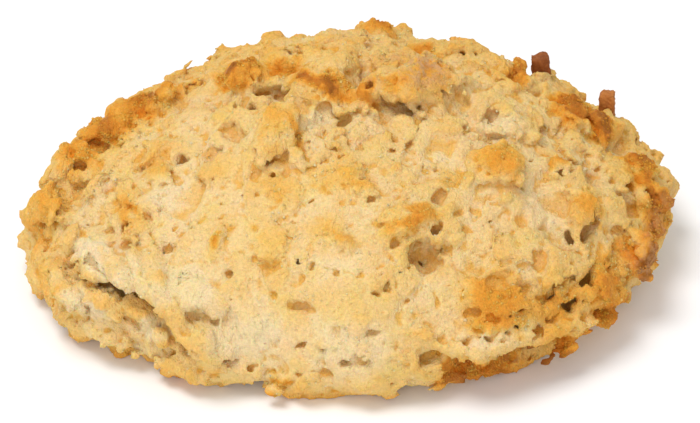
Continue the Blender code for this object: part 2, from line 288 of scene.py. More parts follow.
# %% Hollows
HOLLOWS = dict(
    # bearing, height angle, half-width along the crust, half-height up it, depth, turn if any
    great_hole=(294, 29.4, 1.9, 2, 3, 25),
    great_hole_lobe=(291.5, 31.6, 1.3, 0.9, 2),
    side_pit=(285.3, 34.7, 0.8, 0.7, 1.2),
    round_hole=(300.8, 30.4, 0.75, 0.75, 1.5),
    under_flake=(299.5, 35.6, 0.9, 0.5, 1.6, 15),
    ragged_hole=(307.2, 43.3, 1.1, 0.8, 1.6, 20),
    soft_dent=(310.9, 51.1, 1, 0.6, 0.5),
    speckled_slit=(309.9, 37.4, 1.1, 0.45, 1, 10),
    dark_dot=(314.8, 36.5, 0.55, 0.5, 1.3),
    dent_above=(309, 32.5, 1, 0.9, 0.8),
    dent_right=(323.5, 29, 1.1, 1, 0.9),
    tall_recess=(335, 28.1, 1.7, 2.9, 1.4, 8),
    recess_bottom=(327.6, 25.1, 0.9, 0.6, 1.2, 10),
    small_round=(328.2, 21.2, 0.5, 0.6, 1),
    slanted_hole=(319, 21.2, 0.9, 1.5, 1.7, -30),
    dent_below=(312, 21, 0.6, 0.9, 0.9, -20),
    crescent_hole=(307.6, 20.9, 1.5, 1.4, 1.8, 20),
    square_hole=(312.5, 16.9, 1.6, 1.2, 1.5),
    square_dark=(311.6, 15.8, 0.6, 0.5, 2.2),
    deep_cavity=(325.1, 8.1, 1.3, 1.5, 1.2, -30),
    deep_cavity_top=(322.7, 13.7, 1.1, 0.7, 0.9),
    deep_cavity_foot=(323.1, 6.8, 1.4, 0.7, 1),
    crease=(292.6, 19, 0.4, 1.5, 0.9),
    dark_hollow=(299.9, 15.6, 0.9, 0.5, 1.2),
    tiny_hole_a=(301.4, 13.3, 0.25, 0.25, 0.9),
    tiny_hole_b=(300.5, 10, 0.55, 0.35, 1),
    tiny_hole_c=(296.5, 10, 0.7, 0.4, 1, 15),
    low_slot=(289.2, 5.8, 1.8, 0.8, 1.8, 10),
    wall_left=(296, 2.6, 2.2, 2, 2),
    wall_middle=(302, 2.2, 3.2, 2.2, 2.4),
    wall_right=(309, 2.2, 3.4, 2.1, 2.1),
    wall_end=(315, 3, 2.4, 1.5, 1.4),
    over_lip=(311.9, 7.7, 1, 0.9, 1.2),
    brow_cavity=(335.6, 19.5, 1.7, 0.9, 1.9, 12),
    end_cavity=(349.1, 15.7, 1.2, 2.4, 1.9, 20),
    end_dot=(354.1, 12.7, 0.6, 1.3, 1.3),
    end_crease=(353.5, 8.5, 0.5, 1.6, 1.3, 15),
    end_dent=(340.7, 15.3, 0.9, 1, 0.9),
    end_dark_dot=(337.3, 13.1, 0.5, 0.4, 1.1),
    brown_hole=(351.6, 23.1, 0.8, 0.9, 1.6),
    brown_right=(351.9, 20, 0.5, 0.45, 1.2),
    brown_below=(347.1, 21.8, 0.6, 0.4, 1),
    small_pocket=(5.4, 29.9, 0.7, 0.5, 0.9),
    far_round_hole=(357.3, 47.8, 0.8, 0.8, 1.8),
    pale_recess=(343.7, 36.7, 1.8, 1.9, 1.1),
    pocket_above=(350.5, 38.9, 1.1, 0.7, 0.9),
    crest_notch=(348, 83.4, 0.7, 0.5, 1.5),
    crest_slit=(287.6, 73, 0.25, 1.2, 0.9),
    crest_pocket=(223.9, 79.7, 1.3, 0.8, 1),
    cleft=(176.7, 56.2, 0.6, 1.1, 1.5, -25),
    leaf_undercut=(229.4, 54.1, 1.9, 0.4, 0.9, 12),
    leaf_side=(236, 63, 0.35, 2.2, 0.8, 8),
    leaf_recess=(238.3, 53.2, 0.5, 0.9, 1),
    golden_pocket=(193.3, 51.4, 1.2, 1, 1.2, -25),
    pale_pocket=(200.6, 44, 1.7, 1.4, 1.1),
    shadow_nick=(181.8, 42.5, 0.9, 0.4, 0.9),
    dark_hole=(193.9, 37.3, 0.65, 0.55, 2),
    dark_slope=(194.3, 35.6, 0.6, 0.6, 0.8),
    pale_patch=(209.5, 33.2, 2.6, 3, 1.3, 20),
    pale_edge=(204.7, 31.5, 0.5, 1.8, 1.4, -35),
    tiny_dark=(183.3, 28.7, 0.3, 0.35, 1),
    dark_slit=(208.5, 25.9, 0.9, 0.45, 1.7, -25),
    pale_groove=(193.5, 23.9, 0.8, 1.9, 0.9),
    left_hole_a=(207.6, 21.8, 0.7, 0.5, 1.3),
    left_hole_b=(212.7, 20.6, 0.9, 0.6, 1.5, 10),
    left_hole_c=(218.2, 23.1, 0.9, 0.6, 1.7, 25),
    left_hollow=(194.1, 11, 1, 1.7, 1.6),
    under_left_crag=(181.6, 18.5, 1, 0.6, 1.2),
    small_left=(185.5, 15.3, 0.5, 0.7, 0.9),
    small_top_left=(150.6, 23.2, 0.5, 0.7, 0.9),
    golden_nick=(237.5, 35.2, 0.6, 0.4, 0.7, 15),
    front_dot_a=(251.5, 38.4, 0.35, 0.35, 0.8),
    front_dot_b=(266.8, 35.6, 0.3, 0.35, 0.8),
    front_dot_c=(276.8, 33.7, 0.3, 0.3, 0.8),
    front_dot_d=(241.7, 28.4, 0.5, 0.5, 1),
    front_dip=(245.9, 26.8, 1.9, 0.8, 0.9, 12),
    front_arc=(249.5, 30.5, 0.5, 0.2, 0.6, 10),
    dark_string_a=(258.8, 29.1, 0.4, 0.3, 1.2),
    dark_string_b=(263.6, 29.2, 0.45, 0.3, 1.2, -10),
    dark_string_c=(266, 27.8, 0.5, 0.35, 1.2, -30),
    front_dent=(256.1, 25.3, 0.5, 0.7, 0.8),
    front_hollow=(257.8, 18.9, 1.7, 0.9, 1.5, -10),
    ragged_pit_a=(277.5, 23, 0.6, 0.45, 1.1),
    ragged_pit_b=(281, 24, 0.4, 0.6, 1),
    low_pair_left=(258.2, 9.4, 0.6, 0.4, 1.5),
    low_pair_right=(263.3, 9, 0.4, 0.4, 1.4),
    low_round=(269.1, 6.5, 0.6, 0.45, 1.3, 10),
    low_dent_a=(272.7, 7.5, 1.1, 0.8, 0.8),
    low_dent_b=(264.7, 2.7, 0.9, 0.7, 0.8),
    low_slit=(278.2, 11.1, 0.15, 0.4, 0.8, 20),
    by_lip=(235, 13.1, 1.5, 0.9, 1.6, -20),
    by_lip_dark=(237.9, 12, 0.8, 0.5, 1.8, -35),
    pale_dent=(227.8, 19.6, 1, 0.8, 0.8),
    low_slot_left=(242.7, 4, 1.1, 0.4, 1.4, -25),
    low_slot_end=(247.5, 2.3, 0.7, 0.3, 1.1, -15),
    foot_slit=(252.1, 1.1, 1.2, 0.35, 1.2, 10),
    ledge_hole=(207.3, 5.9, 0.6, 0.5, 1.4),
    ledge_hole_left=(200.4, 5, 0.7, 0.5, 1),
)
WIDEN = 1.2  # hollows end up narrower than they are set, because their rims are rounded
SETTLE = 0.45  # how far the whole dough draws back, to leave room for what stands out
BALL_DETAIL = 3  # subdivisions of each lump's or hollow's icosphere
HOLLOW_UNEVENNESS = 0.3
DENTS_PER_RADIUS = 1.6  # how many bumps wide the unevenness is


def points_and_faces(shape):
    """A shape as plain lists. The shape itself is freed."""
    points = [vertex.co.copy() for vertex in shape.verts]
    faces = [[vertex.index for vertex in face.verts] for face in shape.faces]
    shape.free()
    return points, faces


def ball(detail):
    shape = bmesh.new()
    bmesh.ops.create_icosphere(shape, subdivisions=detail, radius=1)
    return shape


BALL_POINTS, BALL_FACES = points_and_faces(ball(BALL_DETAIL))


def uneven_ball(place, half_sizes, unevenness):
    """The points of an ellipsoid whose radius wavers, in millimetres."""
    shift = place.translation * 1.7  # so that no two are alike
    points = []
    for point in BALL_POINTS:
        wobble = 1 + unevenness * noise.noise(point * DENTS_PER_RADIUS + shift)
        points.append(place @ Vector(a * b * wobble for a, b in zip(point, half_sizes)))
    return points


def object_of(name, shapes, faces):
    """A linked object made of shapes with the same faces. Each is a list of points in millimetres."""
    points = [point * MM for shape in shapes for point in shape]
    faces = [[n * len(shape) + i for i in face] for n, shape in enumerate(shapes) for face in faces]
    mesh = bpy.data.meshes.new(name)
    mesh.from_pydata(points, [], faces)
    return add_object(name, mesh)


def add_hollows():
    balls = []
    for bearing, rise, along, up, deep, *turn in HOLLOWS.values():
        place = crust_frame(bearing, rise, *turn) @ Matrix.Translation((0, 0, -SETTLE))
        balls.append(uneven_ball(place, (along * WIDEN, up * WIDEN, deep), HOLLOW_UNEVENNESS))
    return object_of("hollows", balls, BALL_FACES)


hollows = add_hollows()
print(f"{len(HOLLOWS)} hollows")

# %% [markdown]
# ## Crags, nuggets and flaps
# Where the heap was torn, clumps of dough stand out. Each clump is a seeded cluster of small uneven balls
# round a place on the crust. A flap is one wide flat ball, where a sheet of dough lies on the rest. They
# are fused with the dough later, which frays their edges.

# %% Nuggets
CLUSTERS = dict(
    # bearing, height angle, spread along, spread up, how many, smallest and largest radius
    left_crag=(174, 23, 4.4, 3, 26, 0.5, 1.2),
    left_crag_low=(180, 19, 3.6, 2.8, 20, 0.5, 1.2),
    left_crag_high=(169.5, 28.5, 3.6, 2.2, 16, 0.5, 1.1),
    left_rim=(187.6, 13, 2.6, 3.6, 12, 0.5, 1.1),
    left_edge=(160, 34, 3.6, 2.2, 10, 0.4, 1),
    crest_left=(158, 57, 2.6, 1.6, 16, 0.5, 1),
    crest_left_end=(150, 45, 2, 1.4, 8, 0.4, 0.9),
    crest_edge_a=(140, 65, 1.8, 1.2, 8, 0.4, 0.9),
    crest_edge_b=(174, 79, 1.8, 1.2, 10, 0.5, 1),
    crest_edge_c=(187, 83, 1.6, 1, 9, 0.5, 1),
    crest_edge_d=(230, 86.5, 1.6, 1, 8, 0.4, 0.9),
    crest_edge_e=(342, 85, 1.8, 1.2, 20, 0.25, 0.5),
    crest_edge_f=(352, 79, 2.2, 1.2, 24, 0.25, 0.5),
    crest_right=(2, 71, 5, 3.6, 70, 0.22, 0.5),
    crest_right_far=(9, 63, 4.4, 3, 44, 0.22, 0.5),
    top_bump=(78.7, 45.5, 3.8, 1.8, 16, 0.5, 1.2),
    back_crust=(11.5, 22, 3, 1.4, 18, 0.4, 1),
    back_crust_far=(14, 27, 3, 1.6, 14, 0.4, 0.9),
    back_crust_high=(24, 37, 4, 1.2, 14, 0.3, 0.6),
    beside_shorter=(11.5, 19.2, 1.2, 0.9, 9, 0.5, 0.9),
    right_crag=(359.1, 16.5, 3, 2.4, 18, 0.4, 1),
    right_end=(354, 11, 3, 3, 20, 0.4, 1),
    right_end_low=(341.4, 10, 3, 1.8, 14, 0.4, 0.9),
    brow=(338, 23, 2.2, 1.2, 12, 0.4, 0.9),
    gold_knob=(332, 43.2, 3.4, 3, 40, 0.25, 0.6),
    spot=(344.3, 32, 2.2, 2, 26, 0.22, 0.5),
    field=(306, 15.3, 5.4, 3.4, 26, 0.4, 0.9),
    field_right=(320, 10.3, 4, 2.6, 20, 0.4, 0.9),
    field_high=(330, 13.4, 3.2, 2.4, 16, 0.4, 0.9),
    lip=(304, 8.5, 6, 0.7, 16, 0.4, 0.8),
    lip_end=(318, 6.5, 3.4, 0.8, 10, 0.4, 0.8),
    lip_teeth=(212, 13.5, 4.5, 0.8, 26, 0.25, 0.5),
    lip_teeth_right=(226, 10.5, 4, 0.9, 22, 0.25, 0.5),
    ledge_edge=(214, 1.5, 6, 0.8, 14, 0.4, 0.8),
    ledge_edge_right=(232, -0.5, 6, 0.8, 14, 0.3, 0.7),
)
FLAPS = dict(
    # bearing, height angle, half-width along, half-height up, thickness, how far out, turn if any
    leaf=(222, 61, 2.3, 4.3, 1.4, 1.2, -12),
    leaf_foot=(240, 58.5, 1, 2, 0.8, 0.5, 10),
    flake=(292, 39.4, 3.4, 1.5, 1.2, 0.8, 4),
    flake_top=(287, 42.5, 2.2, 1.2, 0.9, 0.5, 20),
    gold_sheet=(331, 42, 3.2, 2.6, 1.6, 0.45, 15),
    knee=(338.5, 25, 1.8, 2.4, 1.2, 0.6, -20),
    drip=(337.6, 19, 0.7, 1.6, 0.8, 0.5, 5),
    middle_sheet=(267, 56, 3.4, 2.2, 1.6, 0.3, 8),
    middle_knot=(277, 50.5, 1.7, 1.4, 1.2, 0.35),
    left_sheet=(205, 22.5, 2.6, 1.7, 1.2, 0.5, -15),
    left_sheet_high=(196, 31, 2.4, 2, 1.4, 0.4, 10),
    spot_nub=(229, 29.5, 0.9, 1.6, 0.9, 0.5),
    curl=(268, 36, 1.4, 1.1, 0.9, 0.35, -20),
    field_sheet=(303, 19, 2.6, 2, 1.4, 0.5, 10),
    field_sheet_low=(311, 11, 3, 1.6, 1.2, 0.5, -5),
    lip_sheet=(214, 17.6, 4.6, 1.2, 1.2, 0.8, -22),
    lip_sheet_low=(229, 13.6, 3.8, 1.3, 1.2, 0.8, -34),
    lip_tongue=(238, 9.4, 1.4, 2.2, 1.1, 0.7),
    cavity_floor_left=(207.5, 7.6, 3.4, 1.5, 1.9, 2, -12),
    cavity_floor=(214, 8.4, 3.4, 1.5, 1.8, 1.7, -20),
    cavity_floor_right=(221.5, 8.6, 3.2, 1.4, 1.5, 1.1, -28),
    under_crest_sheet=(176, 61, 2.2, 1.1, 1, 0.3, 20),
    crest_band_left=(160, 57, 2.6, 1.5, 1.4, 0.8, 25),
    crest_band_a=(138, 61, 2.4, 1.4, 1.3, 0.7, 35),
    crest_band_b=(156, 70, 2.4, 1.3, 1.3, 0.8, 45),
    crest_sheet=(176, 80, 2.8, 1.2, 1.3, 0.8),
    crest_sheet_end=(350, 80, 2.6, 1.2, 1.2, 0.6),
    crest_mound=(5, 69, 5.2, 2.8, 1.8, 0.35),
    hem_left=(297, 8.2, 3, 0.8, 1.2, 0.6, -4),
    hem_right=(306, 8, 5, 0.8, 1.3, 0.8, 2),
    hem_end=(317, 6.4, 2.6, 0.8, 1.2, 0.8, 8),
    corner_tip=(329, 2, 1.6, 0.9, 1.6, 1.2, 20),
    foot_tip=(318, 1.5, 1.4, 0.9, 1.6, 1.2, 15),
    front_crumb=(253, -2.4, 1, 0.7, 0.7, 0.35),
)
NUGGET_SINK = 0.5  # how deep a nugget sits, as a share of its radius
NUGGET_UNEVENNESS = 0.5
draw = random.Random(11)


def nugget(middle, along, up, smallest, largest):
    """One uneven ball, sunk in the crust near this place."""
    spot = middle @ Vector((draw.gauss(0, along / 2), draw.gauss(0, up / 2), 0))
    nearest, normal, _, _ = crust_tree.find_nearest(spot * MM)
    size = draw.uniform(smallest, largest)
    turned = normal.to_track_quat("Z", "Y").to_matrix().to_4x4()
    turned = turned @ Matrix.Rotation(draw.uniform(0, math.pi), 4, "Z")
    place = Matrix.Translation(nearest / MM - normal * size * NUGGET_SINK) @ turned
    half_sizes = (size * draw.uniform(0.8, 1.4), size, size * draw.uniform(0.7, 1.1))
    return uneven_ball(place, half_sizes, NUGGET_UNEVENNESS)


def add_nuggets():
    balls = []
    for bearing, rise, along, up, count, smallest, largest in CLUSTERS.values():
        middle = crust_frame(bearing, rise)
        balls += [nugget(middle, along, up, smallest, largest) for _ in range(count)]
    for bearing, rise, along, up, thick, stand, *turn in FLAPS.values():
        place = crust_frame(bearing, rise, *turn) @ Matrix.Translation((0, 0, stand - thick))
        balls.append(uneven_ball(place, (along, up, thick), NUGGET_UNEVENNESS))
    return object_of("nuggets", balls, BALL_FACES)


nuggets = add_nuggets()
print(f"{sum(row[4] for row in CLUSTERS.values())} nuggets and {len(FLAPS)} flaps")

# %% [markdown]
# ## Writing a node tree as a formula
# A long node tree is easier to read as a formula. The small class below wraps a socket, and arithmetic on
# it adds the Math nodes that do it.

# %% Fields
def feed(socket, value):
    """Links a field to a socket, or sets the socket to a plain value."""
    if isinstance(value, Field):
        value.tree.links.new(value.socket, socket)
    elif socket.type == "VECTOR" and isinstance(value, (int, float)):
        socket.default_value = (value, value, value)
    else:
        socket.default_value = value


class Field:
    """A value that flows through a node tree. Arithmetic on it adds nodes."""

    def __init__(self, tree, socket):
        self.tree = tree
        self.socket = socket

    def join(self, operation, *others):
        kind = "ShaderNodeVectorMath" if self.socket.type == "VECTOR" else "ShaderNodeMath"
        node = self.tree.nodes.new(kind)
        node.operation = operation
        for socket, value in zip(node.inputs, (self, *others)):
            feed(socket, value)
        return Field(self.tree, next(s for s in node.outputs if s.enabled))

    def __add__(self, other):
        return self.join("ADD", other)

    def __sub__(self, other):
        return self.join("SUBTRACT", other)

    def __mul__(self, other):
        return self.join("MULTIPLY", other)

    def __truediv__(self, other):
        return self.join("DIVIDE", other)

    def __neg__(self):
        return self * -1.0

    def dot(self, other):
        return self.join("DOT_PRODUCT", other)


def applied(piece):
    """A plain mesh of the piece with its modifiers applied. They are gone afterwards."""
    graph = bpy.context.evaluated_depsgraph_get()
    mesh = bpy.data.meshes.new_from_object(piece.evaluated_get(graph))
    piece.modifiers.clear()
    return mesh

# %% A recipe: a node tree with named inputs
class Recipe:
    """A Geometry Nodes tree that is built by calls, with an input for each of its sizes."""

    SOCKETS = {float: "NodeSocketFloat", int: "NodeSocketInt", bpy.types.Object: "NodeSocketObject"}

    def __init__(self, name):
        self.tree = bpy.data.node_groups.new(name, "GeometryNodeTree")
        for way in ("INPUT", "OUTPUT"):
            self.tree.interface.new_socket("Mesh", in_out=way, socket_type="NodeSocketGeometry")
        self.inside = self.tree.nodes.new("NodeGroupInput")
        self.settings = {}  # by name: each input's identifier and value
        self.mesh = Field(self.tree, self.inside.outputs[0])

    def given(self, name, value):
        """A named input of the tree, and the value that this cake gives it."""
        if name not in self.settings:
            kind = self.SOCKETS[type(value)]
            socket = self.tree.interface.new_socket(name, in_out="INPUT", socket_type=kind)
            self.settings[name] = (socket.identifier, value)
        return Field(self.tree, self.inside.outputs[name])

    def add(self, kind, output=0, properties=(), **values):
        """One node. Its inputs are given by name, with _ for a space."""
        node = self.tree.nodes.new(kind)
        for key, value in dict(properties).items():
            setattr(node, key, value)
        for key, value in values.items():
            found = [s for s in node.inputs if s.name.replace(" ", "_") == key and s.enabled]
            feed(found[0], value)
        if isinstance(output, str):
            output = [s.name for s in node.outputs if s.enabled].index(output)
        return Field(self.tree, [s for s in node.outputs if s.enabled][output])

    def noise(self, at, detail=2.0, roughness=0.5, output="Fac"):
        """Noise about zero, with bumps one unit across."""
        settings = {"Vector": at, "Scale": 1.0, "Detail": detail, "Roughness": roughness}
        return self.add("ShaderNodeTexNoise", output, **settings) - 0.5

    def step(self, value, start, end):
        """0 below start, 1 above end and a smooth change between them."""
        chosen = {"interpolation_type": "SMOOTHSTEP"}
        return self.add("ShaderNodeMapRange", 0, chosen, Value=value, From_Min=start, From_Max=end)

    def depth_in(self, mesh, at):
        """The distance to a closed mesh in millimetres, negative inside it."""
        settings = {"Mesh": mesh, "Voxel_Size": FIELD_VOXEL * MM, "Band_Width": SDF_BAND}
        grid = self.add("GeometryNodeMeshToSDFGrid", **settings)
        return self.add("GeometryNodeSampleGrid", 0, Grid=grid, Position=at) * (1 / MM)

    def keep(self, mesh, name, value):
        """Stores a value on the mesh's points."""
        settings = {"Geometry": mesh, "Name": name, "Value": value}
        return self.add("GeometryNodeStoreNamedAttribute", 0, {"domain": "POINT"}, **settings)

    def give(self, mesh, finish):
        """Ends the tree with this mesh, in this finish."""
        whole = self.add("GeometryNodeRealizeInstances", 0, Geometry=mesh)
        outside = self.tree.nodes.new("NodeGroupOutput")
        feed(outside.inputs[0], self.add("GeometryNodeSetMaterial", 0, Geometry=whole, Material=finish))

    def bake(self, piece):
        """A plain mesh of the piece with the tree applied."""
        modifier = piece.modifiers.new(self.tree.name, "NODES")
        modifier.node_group = self.tree
        for identifier, value in self.settings.values():
            modifier[identifier] = value
        return applied(piece)


FIELD_VOXEL = 0.35
SDF_BAND = 10  # how many voxels either side of a surface a distance is known for

# %% [markdown]
# ## The finish of baked dough
# Baked dough runs from cream through gold to brown with the heat it got, so one colour ramp serves for
# all of it. The baking map, the prominence of each point and some mottling feed the ramp. Yellower and
# pinker patches lie over that. Crevices and hollows get painted shade, darker and warmer, since light
# that leaves one has met the crust several times. The dough is a little translucent.

# %% Dough finish
CRUST_COLOURS = (  # baking level, then red, green and blue as linear light
    (0.00, (0.91, 0.74, 0.45)),
    (0.12, (0.90, 0.69, 0.37)),
    (0.24, (0.88, 0.63, 0.26)),
    (0.36, (0.87, 0.56, 0.170)),
    (0.48, (0.86, 0.485, 0.102)),
    (0.60, (0.83, 0.405, 0.060)),
    (0.72, (0.79, 0.345, 0.037)),
    (0.85, (0.60, 0.22, 0.021)),
    (1.00, (0.30, 0.10, 0.010)),
)
HUES = (  # what the crust is multiplied by, from its pinker patches to its yellower ones
    (0.30, (1.00, 0.93, 0.87)),
    (0.50, (1.00, 0.96, 0.90)),
    (0.70, (1.00, 0.97, 0.80)),
)
# painted shade: creases are multiplied by this colour, darker and warmer, where shade falls in them
CREVICE_PAINTED_SHADE = (0.94, 0.70, 0.27)
# painted shade: the floors of hollows are multiplied by this colour, darker where shade falls in them
HOLLOW_PAINTED_SHADE = (0.88, 0.76, 0.58)
DUSK_COLOUR = (0.71, 0.40, 0.18)
MOTTLE_SIZE, HUE_SIZE, DUSK_SIZE, SPECK_SIZE = 6.0, 3.4, 1.1, 0.4  # how wide each pattern's bumps are
GLOSS_SIZE, GRAIN_SIZE, PINHOLE_SIZE = 1.3, 0.38, 0.8
STRAND_SIZE = (0.5, 0.5, 1.9)  # torn dough has upright fibres
GRAIN_DEPTH = 0.45


class Finish:
    """A material whose shader inputs are fed by formulas."""

    def __init__(self, name):
        self.material = bpy.data.materials.new(name)
        self.material.use_nodes = True
        self.tree = self.material.node_tree
        self.shader = self.tree.nodes["Principled BSDF"]

    add = Recipe.add
    noise = Recipe.noise
    step = Recipe.step

    def value(self, name):
        """An attribute of the piece."""
        return self.add("ShaderNodeAttribute", "Fac", {"attribute_name": name})

    def place(self):
        """Object coordinates in millimetres."""
        return self.add("ShaderNodeTexCoord", "Object") * (1 / MM)

    def ramp(self, value, stops):
        made = self.add("ShaderNodeValToRGB", "Color", Fac=value)
        elements = made.socket.node.color_ramp.elements
        while len(elements) < len(stops):
            elements.new(0.5)
        for element, (position, colour) in zip(elements, stops):
            element.position = position
            element.color = (*colour, 1)
        return made

    def blend(self, first, second, share, kind="MULTIPLY"):
        """Multiplies the first colour by the second, or mixes them, by this share."""
        node = self.tree.nodes.new("ShaderNodeMix")
        node.data_type = "RGBA"
        node.blend_type = kind
        for name, value in (("Factor_Float", share), ("A_Color", first), ("B_Color", second)):
            feed(next(socket for socket in node.inputs if socket.identifier == name), value)
        return Field(self.tree, next(s for s in node.outputs if s.identifier == "Result_Color"))

    def bump(self, height, distance):
        return self.add("ShaderNodeBump", 0, Height=height, Distance=distance * MM, Strength=1.0)

    def set(self, values):
        """Sets or feeds the shader's inputs, and returns the material."""
        for name, value in values.items():
            feed(self.shader.inputs[name], value)
        return self.material


def dough_finish():
    finish = Finish("baked_dough")
    place = finish.place()
    bake = finish.value("bake")
    mottle = finish.noise(place / MOTTLE_SIZE, 5.0, 0.5)
    hollow = finish.step(-finish.value("dent"), 0.3, 1.2)
    level = bake + mottle * 0.36 + finish.value("skin") * 0.12 - hollow * 0.12 - 0.06
    tip = finish.step(finish.value("tip"), -0.25, 0.35) - 0.5
    crag = finish.step(finish.value("crag"), -1.5, 2.5) - 0.4
    colour = finish.ramp(level + tip * 0.04 + crag * 0.22, CRUST_COLOURS)
    hue = finish.noise(place / HUE_SIZE + 21.0, 3.0, 0.5) + 0.5
    colour = finish.blend(colour, finish.ramp(hue, HUES), 1.0)
    patches = finish.step(finish.noise(place / DUSK_SIZE, 3.0, 0.65), -0.12, 0.1)
    dusk = finish.value("dusk") * patches
    colour = finish.blend(colour, (*DUSK_COLOUR, 1), dusk, "MIX")
    browned_for_crease_shade = finish.step(bake, -0.05, 0.25)  # the painted crease shade is laid only on browned dough, so the palest hollows stay pale
    # painted shade in the creases of browned dough, less of it in hollows
    crease = finish.step(-finish.value("tip"), 0.0, 0.3) * (hollow * -0.8 + 1.0)
    colour = finish.blend(colour, (*CREVICE_PAINTED_SHADE, 1), crease * browned_for_crease_shade)
    # painted shade on the floors of hollows
    colour = finish.blend(colour, (*HOLLOW_PAINTED_SHADE, 1), hollow * 0.8)
    speck = finish.noise(place / SPECK_SIZE + 5.0, 2.0, 0.7) * 0.45 + 1.0
    pinhole = finish.add("ShaderNodeTexVoronoi", "Distance", Vector=place / PINHOLE_SIZE, Scale=1.0)
    grain = finish.noise(place / GRAIN_SIZE + 9.0, 3.0, 0.7) + finish.step(pinhole, 0.05, 0.3) * 0.4
    strands = finish.noise(place / STRAND_SIZE + 2.0, 3.0, 0.6)
    return finish.set({
        "Base Color": finish.blend(colour, speck, 1.0),
        "Roughness": finish.noise(place / GLOSS_SIZE, 2.0) * 0.5 + 0.66,
        "Normal": finish.bump(grain + strands * 1.1, GRAIN_DEPTH),
        "Specular IOR Level": 0.22,
        "Subsurface Weight": 0.45,
        "Subsurface Radius": (1.0, 0.5, 0.2),
        "Subsurface Scale": 0.6 * MM,
    })


baked_dough = dough_finish()
print("finish:", baked_dough.name)

# %% [markdown]
# ## The dough
# The dough is a volume: a formula says how far outside it each point of space is. Plateaus of skin,
# pores, nuggets and hollows are each one term, and because they are worked out in space, torn edges
# really overhang. The level where the formula is zero becomes the mesh. The front is calmer than the ends
# and the crest.

# %% The formula of the dough
CALMEST = 0.5  # the share of the relief that is left in the middle of the calm front
SKIN_SIZE, SKIN_HEIGHT = 8.5, 0.95  # plateaus of skin: how wide and how high
TEAR_SIZE, TEAR_REACH = 2.6, 2.6  # their edges are torn by noise of this size, by this much
FRAY_SIZE = 0.8
RELIEF_SIZE, RELIEF = 5.0, 1.5
RIDGE_SIZE, RIDGES = 2.3, 1.9
CRUMB_GRAIN, CRUMB = 1.0, 0.95
PATCH_SIZE = 6.5  # smooth skin and rough torn dough take turns at about this size
PORES = {"wide": (3.1, 0.8, 0.55), "small": (1.5, 0.42, 0.3)}  # cell, largest radius, share closed


def calm_share(recipe, mm):
    """1 all over the crags and less towards the middle of the calm front."""
    away = (mm - CALM_MIDDLE) / CALM_REACH
    edge = recipe.step(away.dot(away), 0.35, 1.25)
    return edge * (1 - CALMEST) + CALMEST


def pore_depth(recipe, at, name, cell, radius, closed, where):
    """How far the nearest pore of this kind is, negative inside it. `where` shrinks them."""
    cell = recipe.given(f"Cell of {name} pores", cell)
    radius = recipe.given(f"Radius of {name} pores", radius)
    pore, colour = (
        recipe.add("ShaderNodeTexVoronoi", output, Vector=at / cell, Scale=1.0)
        for output in ("Distance", "Color")
    )
    chance = recipe.add("FunctionNodeSeparateColor", 0, Color=colour)
    return pore * cell - recipe.step(chance, closed, 1.0) * radius * where


def depth_in_object(recipe, name, other, at):
    mesh = recipe.add("GeometryNodeObjectInfo", "Geometry", Object=recipe.given(name, other))
    return recipe.depth_in(mesh, at)


def dough_fields(recipe, core_mesh):
    """The terms of the dough's formula, by name, in millimetres."""
    place = recipe.add("GeometryNodeInputPosition")
    mm = place * (1 / MM)
    tear = recipe.noise(mm / TEAR_SIZE, 3.0, 0.6, "Color")
    fray = recipe.noise(mm / FRAY_SIZE + 31.0, 1.0, 0.5, "Color")
    ragged = mm + tear * recipe.given("Tear reach", TEAR_REACH) + fray * 0.8
    slightly = (mm + tear * 1.8 + fray * 1.4) * MM
    share = calm_share(recipe, mm)
    skin_size = recipe.given("Skin size", SKIN_SIZE)
    skin_height = recipe.given("Skin height", SKIN_HEIGHT)
    upper = recipe.step(recipe.noise(ragged / skin_size, 1.0), 0.0, 0.025)
    lower = recipe.step(recipe.noise(ragged / skin_size * 1.9 + 7.7, 1.0), 0.01, 0.035)
    relief = recipe.noise(mm / RELIEF_SIZE + 3.3, 2.0) * recipe.given("Relief", RELIEF)
    folds = recipe.noise(ragged / RIDGE_SIZE + 1.7, 1.0).join("ABSOLUTE")
    ridges = folds * recipe.given("Ridges", RIDGES)
    patches = recipe.noise(mm / recipe.given("Patch size", PATCH_SIZE) + 12.0, 1.0)
    rough = recipe.step(patches, -0.08, 0.1)
    crumb = recipe.noise(mm / CRUMB_GRAIN, 2.0, 0.7) * recipe.given("Crumb", CRUMB)
    crumb = crumb * (rough * 0.7 + 0.6)
    skins = (upper - 0.5) * skin_height + (lower - 0.4) * skin_height * 0.55
    raised = (skins + relief - ridges + 0.2) * share - crumb
    wide = pore_depth(recipe, ragged, "wide", *PORES["wide"], 1.0)
    small = pore_depth(recipe, ragged, "small", *PORES["small"], rough * 0.6 + 0.4)
    return {
        "core": recipe.depth_in(core_mesh, place) + recipe.given("Settle", SETTLE),
        "hollow": depth_in_object(recipe, "Hollows", hollows, slightly),
        "nugget": depth_in_object(recipe, "Nuggets", nuggets, slightly) + crumb + ridges * 0.5 - 0.2,
        "pore": wide.join("MINIMUM", small),
        "raised": raised,
        "skin": upper * 0.6 + lower * 0.4,
        "level": recipe.add("ShaderNodeSeparateXYZ", "Z", Vector=mm),
    }

# %% The mesh of the dough
VOXEL = 0.3
MARGIN = 2.5
SMALLEST_SCRAP = 4000  # a loose shell with fewer points than this is dropped
NUGGET_BLEND, HOLLOW_BLEND, PORE_BLEND = 0.35, 0.45, 0.3  # how softly each joins the dough


